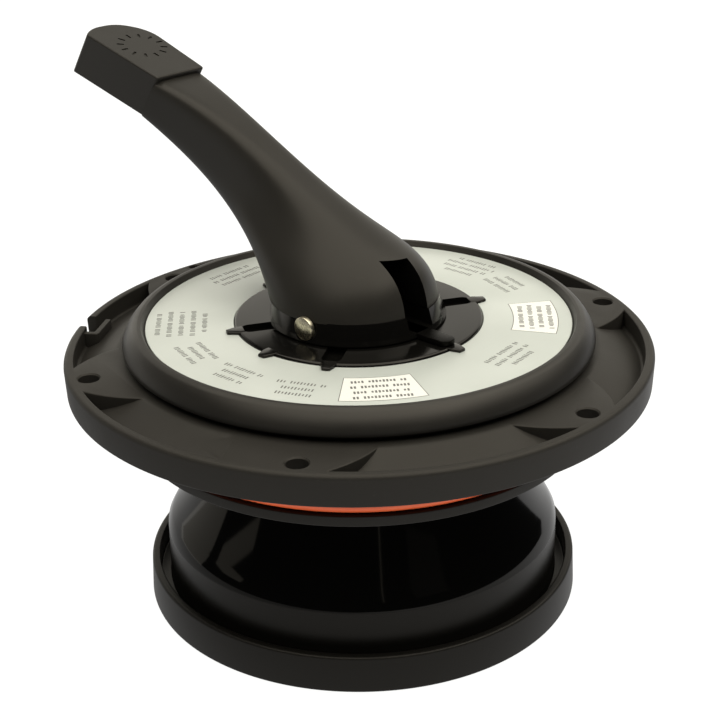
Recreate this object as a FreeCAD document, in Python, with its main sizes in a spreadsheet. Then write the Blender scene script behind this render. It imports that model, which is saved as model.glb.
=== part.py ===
import FreeCAD, Part
import math
import os
import Sketcher
from FreeCAD import Placement, Rotation, Vector

# Top works of a six-position multiport valve: cover, index plate, rotor and cam lever.
# The origin is on the valve's axis, in the flange's underside. +X is the lever's heading.

DIMENSIONS = {
    # cover: flange, spigot and stem sleeve
    "flange_radius": 95.0, "flange_foot_radius": 94.6, "flange_height": 10.0, "flange_round": 1.4,
    "rim_inner_radius": 91.8, "rim_round": 0.6, "shelf_radius": 78.0, "valley_floor": 3.2,
    "platform_radius": 73.2, "platform_top": 13.0,
    "spigot_radius": 68.4, "spigot_inner_radius": 64.0, "spigot_lip_radius": 73.75,
    "lip_height": 3.5, "lip_top": -14.6, "ceiling": 9.5, "ceiling_radius": 59.0,
    "sleeve_radius": 17.0, "sleeve_bottom": -14.0, "stem_bore_radius": 11.05,
    # cover: screw bosses, locating dimple, notch and its guard wall
    "boss_half_width": 8.0, "boss_foot": 75.0, "boss_foot_half_width": 20.5, "boss_flare": 39.0,
    "boss_base": 1.8, "ramp_turn": 122.0, "ramp_near": 8.0, "ramp_near_inner": 76.0, "ramp_near_outer": 93.4,
    "ramp_far": 44.0, "ramp_far_inner": 66.0, "ramp_far_outer": 82.9, "ramp_far_top": 3.4,
    "hole_radius": 3.3, "hole_circle_radius": 88.2, "hole_angle": 2.0, "hole_count": 6,
    "dimple_radius": 1.7, "dimple_reach": 91.7, "dimple_angle": -5.5, "dimple_depth": 4.0,
    "notch_angle": 32.7, "notch_half_width": 5.3, "notch_depth": 6.6,
    "guard_reach": 86.8, "guard_half_width": 6.6, "guard_wall": 1.9, "guard_top": 8.8,
    # index plate: dome ring, label seat, disc, detent slots and pointers
    "dome_radius": 76.4, "dome_bottom": 12.1, "dome_inner_radius": 73.5, "dome_top": 19.2,
    "dome_shoulder_radius": 71.6, "dome_bulge": 16.0, "seat_radius": 68.8, "seat_floor": 17.0,
    "lip_inner_radius": 69.9, "disc_radius": 40.1, "disc_top": 18.3, "disc_round": 1.0,
    "plate_bore_radius": 11.9, "washer_seat_radius": 20.4, "washer_seat_floor": 17.3,
    "slot_inner": 26.5, "slot_outer": 35.7, "slot_half_width": 3.1, "slot_depth": 2.0,
    "pointer_inner": 38.0, "pointer_outer": 43.6, "pointer_half_root": 2.4, "pointer_half_tip": 1.2,
    "pointer_height": 0.9, "spare_pointer_angle": 90.0,
    "plate_screw_circle": 50.0, "plate_screw_radius": 1.5, "plate_screw_head_radius": 3.2,
    "plate_screw_head_height": 2.0, "plate_screw_bite": 2.8, "plate_screw_count": 3,
    # label
    "label_inner_radius": 40.3, "label_outer_radius": 68.5, "label_thickness": 0.5,
    # rotor
    "rotor_bottom": -77.0, "ring_foot_radius": 72.5, "ring_radius": 71.9, "ring_top": -64.6,
    "ring_inner_radius": 69.3, "channel_floor": -71.5, "band_radius": 65.7, "crease": -52.9,
    "cone_radius": 48.5, "cone_top": -22.0, "crown": -19.0, "crown_radius": 45.5, "cone_flare": 130.0,
    "well_radius": 27.5, "well_floor": -31.0, "stem_radius": 11.0, "stem_shoulder": 13.4,
    "shell_wall": 3.4, "post_radius": 14.0, "wide_chamber_angle": 302.0, "port_chamber_angle": 54.0,
    "window_bottom": -50.0, "window_top": -28.0, "window_half_width": 19.0, "window_start": 38.0,
    "spoke_half_width": 2.0, "spoke_height": 5.0, "spoke_count": 6,
    "tang_half_length": 9.7, "tang_width": 10.0, "tang_round_height": 25.8,
    "gland_radius": 9.2, "gland_height": 2.4, "gland_low": -9.0, "gland_pitch": 6.0,
    # seals, washers and spring
    "cover_ring_radius": 71.0, "cover_ring_section": 2.55, "cover_ring_height": -11.9,
    "stem_ring_radius": 10.12, "stem_ring_section": 0.9,
    "washer_outer_radius": 20.0, "washer_inner_radius": 12.1, "washer_thickness": 0.9,
    "spring_washer_thickness": 1.0, "upper_washer_inner": 17.4, "lower_washer_inner": 11.5,
    "spring_washer_outer": 26.0, "spring_radius": 21.3, "wire_radius": 1.6, "spring_pitch": 6.4,
    # lever and its pin
    "lever_base": 18.6, "skirt_radius": 29.1, "skirt_top_radius": 27.0, "skirt_top": 25.0,
    "skirt_shift": 0.8, "cam_toe": 12.0, "cam_relief_angle": 21.0,
    "slot_in_lever_half": 5.3, "lever_slot_front": 13.6, "lever_slot_back": -13.5,
    "lever_slot_floor": 20.2, "lever_slot_top": 41.5,
    "tongue_half_width": 3.0, "tongue_reach": 36.4, "tongue_root": 22.0,
    "pin_x": -3.0, "pin_z": 22.8, "pin_radius": 2.9, "pin_head_radius": 3.8, "pin_head_height": 1.4,
    "pin_head_seat": 26.8, "pin_dome": 0.6, "pin_dome_radius": 12.0, "pin_flat_radius": 0.6,
    "pin_end": -27.0,
    "clip_outer_radius": 4.1, "clip_recess_radius": 4.5, "clip_seat": -24.6, "clip_thickness": 0.8,
    # grip cap, the tenon under it and its screw
    "cap_x": 81.05, "cap_z": 85.1, "cap_angle": 16.2, "cap_depth": 17.5, "cap_seam_half": 10.4,
    "tenon_length": 27.0, "tenon_sink": 6.0, "tenon_half_width": 4.5, "tenon_height": 8.0,
    "cap_screw_reach": 13.0, "cap_screw_radius": 1.5, "cap_screw_length": 9.0,
    "cap_screw_head_radius": 2.8, "cap_screw_head_height": 1.8, "cap_screw_drop": 7.6,
    # shared clearances
    "close_fit": 0.02, "joint_gap": 0.15,
}

# Lever in its plane of symmetry: control points (x, z) of the back line and of the belly line,
# and control values of the half width and of how square each section is.
LEVER_BACK = [(-25.4, 25.0), (-23.0, 51.0), (1.1, 37.5), (31.6, 70.7), (81.8, 83.5)]
LEVER_BELLY = [(29.0, 25.0), (44.9, 41.7), (57.3, 46.7), (91.5, 69.3)]
LEVER_HALF_WIDTH = [27.2, 24.5, 7.7, 5.4, 11.2]
LEVER_SQUARENESS = [2.0, 1.6, 4.4]
LEVER_SECTIONS = 9
SECTION_POINTS = 32
# Grip cap from above, (along, across) from the seam: a tight near corner and a wide far one
CAP_TIP = [(36.4, 11.8), (39.3, 7.6), (40.3, 2.0), (36.4, -7.4), (25.6, -11.8)]


class Size:
    """A length or an angle: its value, and the expression that reads it from the sheet."""

    def __init__(self, value, text):
        self.value = value
        self.text = text

    def __add__(self, other):
        other = as_size(other)
        return Size(self.value + other.value, f"({self.text} + {other.text})")

    def __sub__(self, other):
        other = as_size(other)
        return Size(self.value - other.value, f"({self.text} - {other.text})")

    def __mul__(self, other):
        other = as_size(other)
        return Size(self.value * other.value, f"({self.text} * {other.text})")

    def __neg__(self):
        return self * -1

    def __rsub__(self, other):
        return as_size(other) - self

    __radd__ = __add__
    __rmul__ = __mul__


def as_size(number):
    return number if isinstance(number, Size) else Size(float(number), repr(float(number)))


class Sizes:
    """The sheet's cells by name."""

    def __init__(self, document, dimensions):
        sheet = document.addObject("Spreadsheet::Sheet", "dims")
        for row, (name, value) in enumerate(dimensions.items(), start=1):
            sheet.set(f"A{row}", name)
            sheet.set(f"B{row}", str(value))
            sheet.setAlias(f"B{row}", name)
            setattr(self, name, Size(value, f"dims.{name}"))
        document.recompute()


doc = FreeCAD.newDocument("multiport_top")
d = Sizes(doc, DIMENSIONS)


# ---- tools for sketches, features and placed primitives ----

def new_body(label):
    body = doc.addObject("PartDesign::Body", label)
    body.Label = label
    return body


def sketch_on(body, name, role, height=0.0, turn=0.0):
    """A sketch on one of the body's own planes, raised by height and turned about its normal."""
    plane = next(feature for feature in body.Origin.OriginFeatures if feature.Role == role)
    sketch = body.newObject("Sketcher::SketchObject", name)
    sketch.AttachmentSupport = [(plane, "")]
    sketch.MapMode = "FlatFace"
    height, turn = as_size(height), as_size(turn)
    sketch.AttachmentOffset = Placement(Vector(0, 0, height.value), Rotation(Vector(0, 0, 1), turn.value))
    sketch.setExpression("AttachmentOffset.Base.z", height.text)
    if turn.value:
        sketch.setExpression("AttachmentOffset.Rotation.Angle", turn.text)
    return sketch


def bind(sketch, kind, references, size):
    """A driving constraint read from the sheet."""
    size = as_size(size)
    index = sketch.addConstraint(Sketcher.Constraint(kind, *references, size.value))
    sketch.setExpression(f"Constraints[{index}]", size.text)


def pin_point(sketch, geometry, end, across, along):
    """Fix one end of an edge at its two coordinates."""
    for kind, size, axis in (("DistanceX", as_size(across), -2), ("DistanceY", as_size(along), -1)):
        if size.value == 0:
            sketch.addConstraint(Sketcher.Constraint("PointOnObject", geometry, end, axis))
        else:
            bind(sketch, kind, (-1, 1, geometry, end), size)


def loop(sketch, corners, arcs=None):
    """A closed outline through the corners; arcs gives edge number: (radius, side)."""
    arcs = arcs or {}
    points = [Vector(as_size(x).value, as_size(y).value, 0) for x, y in corners]
    ends = []
    for i, start in enumerate(points):
        stop = points[(i + 1) % len(points)]
        if i in arcs:
            radius, side = as_size(arcs[i][0]), arcs[i][1]
            chord = stop - start
            rise = radius.value - math.sqrt(radius.value ** 2 - chord.Length ** 2 / 4)
            across = Vector(-chord.y, chord.x, 0).normalize() * side
            edge = sketch.addGeometry(Part.Arc(start, (start + stop) / 2 + across * rise, stop))
            bind(sketch, "Radius", (edge,), radius)
        else:
            edge = sketch.addGeometry(Part.LineSegment(start, stop))
        forward = (sketch.getPoint(edge, 1) - start).Length < (sketch.getPoint(edge, 2) - start).Length
        ends.append((edge, 1 if forward else 2, 2 if forward else 1))
    for i, (edge, first, last) in enumerate(ends):
        following, next_first, _ = ends[(i + 1) % len(ends)]
        sketch.addConstraint(Sketcher.Constraint("Coincident", edge, last, following, next_first))
        pin_point(sketch, edge, first, *corners[i])


def circle(sketch, across, along, radius):
    across, along, radius = as_size(across), as_size(along), as_size(radius)
    edge = sketch.addGeometry(Part.Circle(Vector(across.value, along.value, 0), Vector(0, 0, 1), radius.value))
    pin_point(sketch, edge, 3, across, along)
    bind(sketch, "Radius", (edge,), radius)


def turned(body, name, corners, arcs=None, angle=360.0, cut=False, role="XZ_Plane"):
    """Revolve an outline about the plane's upright axis; a cut takes material away."""
    sketch = sketch_on(body, f"{name}_outline", role)
    loop(sketch, corners, arcs)
    feature = body.newObject("PartDesign::Groove" if cut else "PartDesign::Revolution", name)
    feature.Profile = sketch
    feature.ReferenceAxis = (sketch, ["V_Axis"])
    feature.Midplane = as_size(angle).value < 360
    feature.setExpression("Angle", as_size(angle).text)
    return feature


def raised(body, name, sketch, height, both_ways=False):
    pad = body.newObject("PartDesign::Pad", name)
    pad.Profile = sketch
    pad.SideType = "Symmetric" if both_ways else "One side"
    pad.setExpression("Length", as_size(height).text)
    return pad


def sunk(body, name, sketch, depth, reverse=False, both_ways=False):
    """A pocket that has to take something away."""
    doc.recompute()
    before = body.Tip.Shape.Volume
    pocket = body.newObject("PartDesign::Pocket", name)
    pocket.Profile = sketch
    pocket.Reversed = reverse
    pocket.SideType = "Symmetric" if both_ways else "One side"
    pocket.setExpression("Length", as_size(depth).text)
    doc.recompute()
    if pocket.Shape.Volume > before - 0.01:
        raise RuntimeError(f"{name} cuts nothing")
    return pocket


def round_pattern(body, name, feature, count):
    pattern = body.newObject("PartDesign::PolarPattern", name)
    axis = next(item for item in body.Origin.OriginFeatures if item.Role == "Z_Axis")
    pattern.Originals = [feature]
    pattern.Axis = (axis, [""])
    pattern.Angle = 360
    pattern.setExpression("Occurrences", count.text)
    body.Tip = pattern
    return pattern


def place(item, x=0.0, y=0.0, z=0.0, axis=None, angle=0.0):
    x, y, z = as_size(x), as_size(y), as_size(z)
    turn = Rotation(axis, as_size(angle).value) if axis else Rotation()
    item.Placement = Placement(Vector(x.value, y.value, z.value), turn)
    for letter, size in (("x", x), ("y", y), ("z", z)):
        item.setExpression(f"Placement.Base.{letter}", size.text)
    return item


def cylinder(name, radius, height, **where):
    item = doc.addObject("Part::Cylinder", name)
    item.setExpression("Radius", as_size(radius).text)
    item.setExpression("Height", as_size(height).text)
    return place(item, **where)


def box(name, length, width, height, **where):
    item = doc.addObject("Part::Box", name)
    for side, size in (("Length", length), ("Width", width), ("Height", height)):
        item.setExpression(side, as_size(size).text)
    return place(item, **where)


def cut(name, base, *tools):
    """Base less every tool; the result takes the name."""
    tool = tools[0]
    if len(tools) > 1:
        tool = doc.addObject("Part::MultiFuse", f"{name}_tools")
        tool.Shapes = list(tools)
    item = doc.addObject("Part::Cut", name)
    item.Base, item.Tool = base, tool
    item.Label = name
    return item


def fuse(name, *parts):
    item = doc.addObject("Part::MultiFuse", name)
    item.Shapes = list(parts)
    item.Label = name
    return item


def washer(name, outer, inner, bottom, thickness):
    """A flat ring, standing on bottom."""
    rim = cylinder(f"{name}_rim", outer, thickness, z=bottom)
    hole = cylinder(f"{name}_hole", inner, thickness + 2, z=bottom - 1)
    return cut(name, rim, hole)


def ring_seal(name, radius, section, height):
    item = doc.addObject("Part::Torus", name)
    item.setExpression("Radius1", as_size(radius).text)
    item.setExpression("Radius2", as_size(section).text)
    item.Label = name
    return place(item, z=height)


# ---- the pieces ----

def make_cover():
    """Flange with a shelf and a sloping valley inside its rim, spigot with a seal lip, and the stem sleeve."""
    body = new_body("cover")
    lip_bottom = d.lip_top - d.lip_height
    turned(body, "cover_shell", [
        (d.stem_bore_radius, d.platform_top), (d.platform_radius, d.platform_top),
        (d.platform_radius, d.flange_height), (d.shelf_radius, d.flange_height),
        (d.rim_inner_radius, d.valley_floor),
        (d.rim_inner_radius, d.flange_height - d.rim_round), (d.rim_inner_radius + d.rim_round, d.flange_height),
        (d.flange_radius - d.flange_round, d.flange_height), (d.flange_radius, d.flange_height - d.flange_round),
        (d.flange_foot_radius, 0), (d.spigot_radius, 0), (d.spigot_radius, d.lip_top),
        (d.spigot_lip_radius, d.lip_top), (d.spigot_lip_radius, lip_bottom),
        (d.spigot_inner_radius, lip_bottom), (d.spigot_inner_radius, d.ceiling - 5), (d.ceiling_radius, d.ceiling),
        (d.sleeve_radius, d.ceiling), (d.sleeve_radius, d.sleeve_bottom), (d.stem_bore_radius, d.sleeve_bottom),
    ], arcs={5: (d.rim_round, 1), 7: (d.flange_round, 1)})

    outline = sketch_on(body, "boss_outline", "XY_Plane", d.boss_base, d.hole_angle)
    half, foot, outer = d.boss_half_width, d.boss_foot_half_width, d.rim_inner_radius + 1
    loop(outline, [(outer, -half), (outer, half), (d.boss_foot, foot), (d.boss_foot, -foot)],
         arcs={1: (d.boss_flare, 1), 3: (d.boss_flare, 1)})
    boss = raised(body, "screw_boss", outline, d.flange_height - d.boss_base)
    round_pattern(body, "screw_bosses", boss, d.hole_count)

    # A ramp rises out of the valley to the second boss; its two ends are square to the boss.
    ramp = body.newObject("PartDesign::AdditiveWedge", "boss_ramp")
    ramp.AttachmentSupport = [(next(item for item in body.Origin.OriginFeatures if item.Role == "XY_Plane"), "")]
    ramp.MapMode = "FlatFace"
    ramp.AttachmentOffset = Placement(Vector(), Rotation(Vector(0, 0, 1), d.ramp_turn.value))
    ramp.setExpression("AttachmentOffset.Rotation.Angle", d.ramp_turn.text)
    for side, size in (("Ymin", -d.ramp_far), ("Ymax", -d.ramp_near), ("Zmin", d.boss_base), ("Z2min", d.boss_base),
                       ("Xmin", d.ramp_far_inner), ("Xmax", d.ramp_far_outer), ("Zmax", d.ramp_far_top),
                       ("X2min", d.ramp_near_inner), ("X2max", d.ramp_near_outer), ("Z2max", d.flange_height)):
        setattr(ramp, side, size.value)
        ramp.setExpression(side, size.text)

    guard = sketch_on(body, "guard_outline", "XY_Plane", d.boss_base, d.notch_angle)
    side, wall, reach, rim = d.guard_half_width, d.guard_wall, d.guard_reach, d.rim_inner_radius + 1
    loop(guard, [(rim, side), (rim, side - wall), (reach + wall, side - wall), (reach + wall, -side),
                 (reach, -side), (reach, side)])
    raised(body, "notch_guard", guard, d.guard_top - d.boss_base)

    notch = sketch_on(body, "notch_outline", "XY_Plane", d.flange_height, d.notch_angle)
    loop(notch, [(d.rim_inner_radius - 2, -d.notch_half_width), (d.flange_radius + 3, -d.notch_half_width),
                 (d.flange_radius + 3, d.notch_half_width - d.guard_wall),
                 (d.rim_inner_radius - 2, d.notch_half_width - d.guard_wall)])
    sunk(body, "rim_notch", notch, d.notch_depth)

    dimple = sketch_on(body, "dimple_outline", "XY_Plane", d.flange_height, d.dimple_angle)
    circle(dimple, d.dimple_reach, 0, d.dimple_radius)
    sunk(body, "locating_dimple", dimple, d.dimple_depth)

    hole = sketch_on(body, "hole_outline", "XY_Plane", d.flange_height, d.hole_angle)
    circle(hole, d.hole_circle_radius, 0, d.hole_radius)
    drilled = sunk(body, "screw_hole", hole, d.flange_height + 1)
    round_pattern(body, "screw_holes", drilled, d.hole_count)

    pilot = sketch_on(body, "plate_hole_outline", "XY_Plane", d.platform_top)
    circle(pilot, d.plate_screw_circle, 0, d.plate_screw_radius + d.joint_gap)
    through = sunk(body, "plate_hole", pilot, d.platform_top - d.ceiling + 1)
    round_pattern(body, "plate_holes", through, d.plate_screw_count)


def make_index_plate():
    """Dome ring that overhangs the flange, label seat, and the disc with detent slots and pointers."""
    body = new_body("index_plate")
    turned(body, "plate_shell", [
        (d.plate_bore_radius, d.platform_top), (d.dome_inner_radius, d.platform_top),
        (d.dome_inner_radius, d.dome_bottom), (d.dome_radius, d.dome_bottom),
        (d.dome_shoulder_radius, d.dome_top), (d.lip_inner_radius, d.dome_top),
        (d.seat_radius, d.seat_floor), (d.disc_radius, d.seat_floor),
        (d.disc_radius, d.disc_top - d.disc_round), (d.disc_radius - d.disc_round, d.disc_top),
        (d.washer_seat_radius, d.disc_top), (d.washer_seat_radius, d.washer_seat_floor),
        (d.plate_bore_radius, d.washer_seat_floor),
    ], arcs={3: (d.dome_bulge, -1), 8: (d.disc_round, -1)})

    outline = sketch_on(body, "slot_outline", "XY_Plane", d.disc_top)
    half = d.slot_half_width
    loop(outline, [(d.slot_inner, -half), (d.slot_outer, -half), (d.slot_outer, half), (d.slot_inner, half)],
         arcs={1: (half + d.close_fit, -1)})
    slot = sunk(body, "detent_slot", outline, d.slot_depth)
    round_pattern(body, "detent_slots", slot, d.hole_count)

    top = d.seat_floor + d.label_thickness
    corners = [(d.pointer_inner, -d.pointer_half_root), (d.disc_radius, -d.pointer_half_root),
               (d.pointer_outer, -d.pointer_half_tip), (d.pointer_outer, d.pointer_half_tip),
               (d.disc_radius, d.pointer_half_root), (d.pointer_inner, d.pointer_half_root)]
    sketch = sketch_on(body, "pointer_outline", "XY_Plane", top + d.close_fit)
    loop(sketch, corners)
    pointer = raised(body, "pointer", sketch, d.pointer_height - d.close_fit)
    round_pattern(body, "pointers", pointer, d.hole_count)
    spare = sketch_on(body, "spare_pointer_outline", "XY_Plane", top + d.close_fit, d.spare_pointer_angle)
    loop(spare, corners)
    raised(body, "spare_pointer", spare, d.pointer_height - d.close_fit)

    pilot = sketch_on(body, "pilot_outline", "XY_Plane", d.platform_top)
    circle(pilot, d.plate_screw_circle, 0, d.plate_screw_radius + d.close_fit)
    blind = sunk(body, "pilot", pilot, d.plate_screw_bite + 0.3, reverse=True)
    round_pattern(body, "pilots", blind, d.plate_screw_count)


def make_plate_screws():
    """Three self-tapping screws that hold the index plate from inside the cover."""
    body = new_body("index_plate_screws")
    body.AllowCompound = True
    head = sketch_on(body, "screw_head_outline", "XY_Plane", d.ceiling - d.plate_screw_head_height)
    circle(head, d.plate_screw_circle, 0, d.plate_screw_head_radius)
    raised(body, "screw_head", head, d.plate_screw_head_height)
    shank = sketch_on(body, "screw_shank_outline", "XY_Plane", d.ceiling - d.plate_screw_head_height)
    circle(shank, d.plate_screw_circle, 0, d.plate_screw_radius)
    length = d.platform_top + d.plate_screw_bite - d.ceiling + d.plate_screw_head_height
    stem = raised(body, "screw_shank", shank, length)
    pattern = round_pattern(body, "plate_screws", stem, d.plate_screw_count)
    pattern.Originals = [body.getObject("screw_head"), stem]


def make_rotor():
    """Bell with a rim ring, a spring well, a port chamber with its window, and the stem with its tang."""
    body = new_body("rotor")
    turned(body, "rotor_solid", [
        (0, d.rotor_bottom), (d.ring_foot_radius, d.rotor_bottom), (d.ring_radius, d.ring_top),
        (d.ring_inner_radius, d.ring_top), (d.ring_inner_radius, d.channel_floor),
        (d.band_radius + 0.2, d.channel_floor), (d.band_radius, d.crease), (d.cone_radius, d.cone_top),
        (d.crown_radius, d.crown), (d.well_radius, d.crown), (d.well_radius, d.well_floor),
        (d.stem_radius, d.well_floor), (d.stem_radius, d.stem_shoulder), (0, d.stem_shoulder),
    ], arcs={6: (d.cone_flare, 1)})

    wall, floor = d.shell_wall, d.rotor_bottom - 1
    lining = [(d.post_radius, floor), (d.band_radius - wall, floor), (d.band_radius - wall, d.crease - 1),
              (d.cone_radius - wall, d.cone_top - wall), (d.well_radius + wall, d.cone_top - wall),
              (d.well_radius + wall, d.well_floor - wall), (d.post_radius, d.well_floor - wall)]
    turned(body, "port_chamber", lining, angle=d.port_chamber_angle, cut=True)
    turned(body, "wide_chamber", [(-x, y) for x, y in lining], angle=d.wide_chamber_angle, cut=True)

    window = sketch_on(body, "window_outline", "YZ_Plane", d.window_start)
    half = d.window_half_width
    loop(window, [(-half, d.window_bottom), (half, d.window_bottom), (half, d.window_top), (-half, d.window_top)])
    sunk(body, "port_window", window, 40, reverse=True)

    spoke = sketch_on(body, "spoke_outline", "XY_Plane", d.rotor_bottom, 30.0)
    reach, half = d.band_radius - 1, d.spoke_half_width
    loop(spoke, [(d.post_radius - 1, -half), (reach, -half), (reach, half), (d.post_radius - 1, half)])
    bar = raised(body, "face_spoke", spoke, d.spoke_height)
    round_pattern(body, "face_spokes", bar, d.spoke_count)

    tang = sketch_on(body, "tang_outline", "XZ_Plane")
    half = d.tang_half_length
    loop(tang, [(-half, d.stem_shoulder - 1), (half, d.stem_shoulder - 1), (half, d.tang_round_height),
                (-half, d.tang_round_height)], arcs={2: (half + d.close_fit, -1)})
    raised(body, "tang", tang, d.tang_width, both_ways=True)
    bore = sketch_on(body, "pin_bore_outline", "XZ_Plane")
    circle(bore, d.pin_x, d.pin_z, d.pin_radius + 0.04)
    sunk(body, "pin_bore", bore, d.tang_width + 2, both_ways=True)

    low = d.gland_low
    gland = turned(body, "seal_gland", [
        (d.gland_radius, low), (d.stem_radius + 1, low), (d.stem_radius + 1, low + d.gland_height),
        (d.gland_radius, low + d.gland_height)], cut=True)
    pair = body.newObject("PartDesign::LinearPattern", "seal_glands")
    pair.Originals = [gland]
    pair.Direction = (next(f for f in body.Origin.OriginFeatures if f.Role == "Z_Axis"), [""])
    pair.Mode = "Spacing"
    pair.setExpression("Offset", d.gland_pitch.text)
    pair.Occurrences = 2
    body.Tip = pair


def make_seals_and_washers():
    """Seals, thrust washer and spring washers, all rings about the valve's axis."""
    ring_seal("cover_o_ring", d.cover_ring_radius, d.cover_ring_section, d.cover_ring_height)
    middle = d.gland_low + d.gland_height * 0.5
    ring_seal("stem_o_ring_lower", d.stem_ring_radius, d.stem_ring_section, middle)
    ring_seal("stem_o_ring_upper", d.stem_ring_radius, d.stem_ring_section, middle + d.gland_pitch)
    washer("position_label", d.label_outer_radius, d.label_inner_radius, d.seat_floor, d.label_thickness)
    washer("thrust_washer", d.washer_outer_radius, d.washer_inner_radius, d.washer_seat_floor, d.washer_thickness)
    thickness = d.spring_washer_thickness
    washer("spring_washer_upper", d.spring_washer_outer, d.upper_washer_inner, d.ceiling - thickness, thickness)
    washer("spring_washer_lower", d.spring_washer_outer, d.lower_washer_inner, d.well_floor, thickness)


def make_spring():
    """Round wire on a helix between the two spring washers."""
    low = d.well_floor + d.spring_washer_thickness + d.wire_radius
    high = d.ceiling - d.spring_washer_thickness - d.wire_radius
    body = new_body("return_spring")
    wire = sketch_on(body, "wire_outline", "XZ_Plane")
    circle(wire, d.spring_radius, low, d.wire_radius - d.close_fit)
    helix = body.newObject("PartDesign::AdditiveHelix", "coils")
    helix.Profile = wire
    helix.ReferenceAxis = (wire, ["V_Axis"])
    helix.Mode = "pitch-height-angle"
    helix.setExpression("Pitch", d.spring_pitch.text)
    helix.setExpression("Height", (high - low).text)


def bezier(control, s):
    """The point, or the number, at s on the curve that the control values give."""
    degree = len(control) - 1
    weights = [math.comb(degree, i) * (1 - s) ** (degree - i) * s ** i for i in range(degree + 1)]
    if isinstance(control[0], tuple):
        return tuple(sum(w * value[k] for w, value in zip(weights, control)) for k in (0, 1))
    return sum(w * value for w, value in zip(weights, control))


def section_wire(back, belly, half_width, squareness):
    """A rounded closed section across the line from belly to back."""
    centre = Vector((back[0] + belly[0]) / 2, 0, (back[1] + belly[1]) / 2)
    upward = Vector((back[0] - belly[0]) / 2, 0, (back[1] - belly[1]) / 2)
    points = []
    for i in range(SECTION_POINTS):
        angle = 2 * math.pi * i / SECTION_POINTS
        up, side = math.cos(angle), math.sin(angle)
        up = math.copysign(abs(up) ** (2 / squareness), up)
        side = math.copysign(abs(side) ** (2 / squareness), side)
        points.append(centre + upward * up + Vector(0, side * half_width, 0))
    curve = Part.BSplineCurve()
    curve.interpolate(points, PeriodicFlag=True)
    return Part.Wire([curve.toShape()])


def lofted(name, sections, ruled):
    """A free-form solid; its sections have no sketch equivalent."""
    item = doc.addObject("Part::Feature", name)
    item.Shape = Part.makeLoft([section_wire(*section) for section in sections], True, ruled)
    item.Placement = Placement()
    return item


def along_cap(x, y, z):
    """A place given along, across and up from the middle of the cap's seam."""
    back, belly = LEVER_BACK[-1], LEVER_BELLY[-1]
    seam = Vector((back[0] + belly[0]) / 2, 0, (back[1] + belly[1]) / 2)
    spot = seam + Rotation(Vector(0, 1, 0), -d.cap_angle.value).multVec(Vector(x, y, z))
    return {"x": spot.x, "y": spot.y, "z": spot.z, "axis": Vector(0, 1, 0), "angle": -d.cap_angle}


def cap_screw_tools(name, clearance):
    """Shank and head of the cap's screw, grown by a clearance."""
    reach, drop = d.cap_screw_reach.value, d.cap_screw_drop.value
    head_height = d.cap_screw_head_height
    shank = cylinder(f"{name}_shank", d.cap_screw_radius + clearance, d.cap_screw_length,
                     **along_cap(reach, 0, -drop + head_height.value))
    head = cylinder(f"{name}_head", d.cap_screw_head_radius + clearance, head_height,
                    **along_cap(reach, 0, -drop))
    return shank, head


def tenon_box(name, clearance):
    half, sink = d.tenon_half_width, d.tenon_sink
    length = d.tenon_length + sink + clearance
    grown = clearance.value if isinstance(clearance, Size) else clearance
    return box(name, length, half * 2 + clearance * 2, d.tenon_height + clearance * 2,
               **along_cap(-sink.value, -half.value - grown, -d.tenon_height.value / 2 - grown))


def across_pin(name, radius, start, length):
    """A cylinder on the pivot pin's axis, from start towards +Y."""
    return cylinder(name, radius, length, x=d.pin_x, y=start, z=d.pin_z, axis=Vector(1, 0, 0), angle=-90)


def make_lever():
    """Lofted arm on a flared skirt, slotted for the stem's tang, with a cam toe and a detent tongue."""
    steps = [i / (LEVER_SECTIONS - 1) for i in range(LEVER_SECTIONS)]
    arm = lofted("lever_arm", [(bezier(LEVER_BACK, s), bezier(LEVER_BELLY, s), bezier(LEVER_HALF_WIDTH, s),
                                bezier(LEVER_SQUARENESS, s)) for s in steps], ruled=False)
    skirt = doc.addObject("Part::Cone", "lever_skirt")
    skirt.setExpression("Radius1", d.skirt_radius.text)
    skirt.setExpression("Radius2", d.skirt_top_radius.text)
    skirt.setExpression("Height", (d.skirt_top - d.lever_base).text)
    place(skirt, x=d.skirt_shift, z=d.lever_base)
    solid = fuse("lever_solid", arm, skirt, tenon_box("lever_tenon", 0.0))

    half, floor = d.slot_in_lever_half, d.lever_slot_floor
    back_slot = box("lever_back_slot", 60, half * 2, d.lever_slot_top - floor,
                    x=d.lever_slot_front - 60, y=-half, z=floor)
    tang_room = box("lever_tang_room", d.lever_slot_front - d.lever_slot_back, half * 2, 6,
                    x=d.lever_slot_back, y=-half, z=floor - 5.5)
    relief_angle = d.cam_relief_angle.value
    sunk_corner = Rotation(Vector(0, 1, 0), -relief_angle).multVec(Vector(0, 0, -12))
    relief = box("lever_relief", 40, 80, 12, x=d.cam_toe + sunk_corner.x, y=-40, z=d.lever_base + sunk_corner.z,
                 axis=Vector(0, 1, 0), angle=-relief_angle)
    bore = across_pin("lever_pin_bore", d.pin_radius + d.close_fit, -40, 80)
    head_seat = across_pin("lever_head_seat", d.pin_head_radius + d.joint_gap, d.pin_head_seat, 12)
    clip_seat = across_pin("lever_clip_seat", d.clip_recess_radius, d.clip_seat - 12, 12)
    holes = cap_screw_tools("lever_screw", d.close_fit)
    slotted = cut("lever_slotted", solid, back_slot, tang_room, relief, bore, head_seat, clip_seat, holes[0])

    width = d.tongue_half_width * 2
    bar = box("tongue_bar", d.tongue_reach - d.tongue_root, width, floor - d.lever_base,
              x=-d.tongue_reach, y=-d.tongue_half_width, z=d.lever_base)
    tip = cylinder("tongue_tip", d.tongue_half_width, floor - d.lever_base, x=-d.tongue_reach, z=d.lever_base)
    fuse("lever", slotted, bar, tip)


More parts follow.
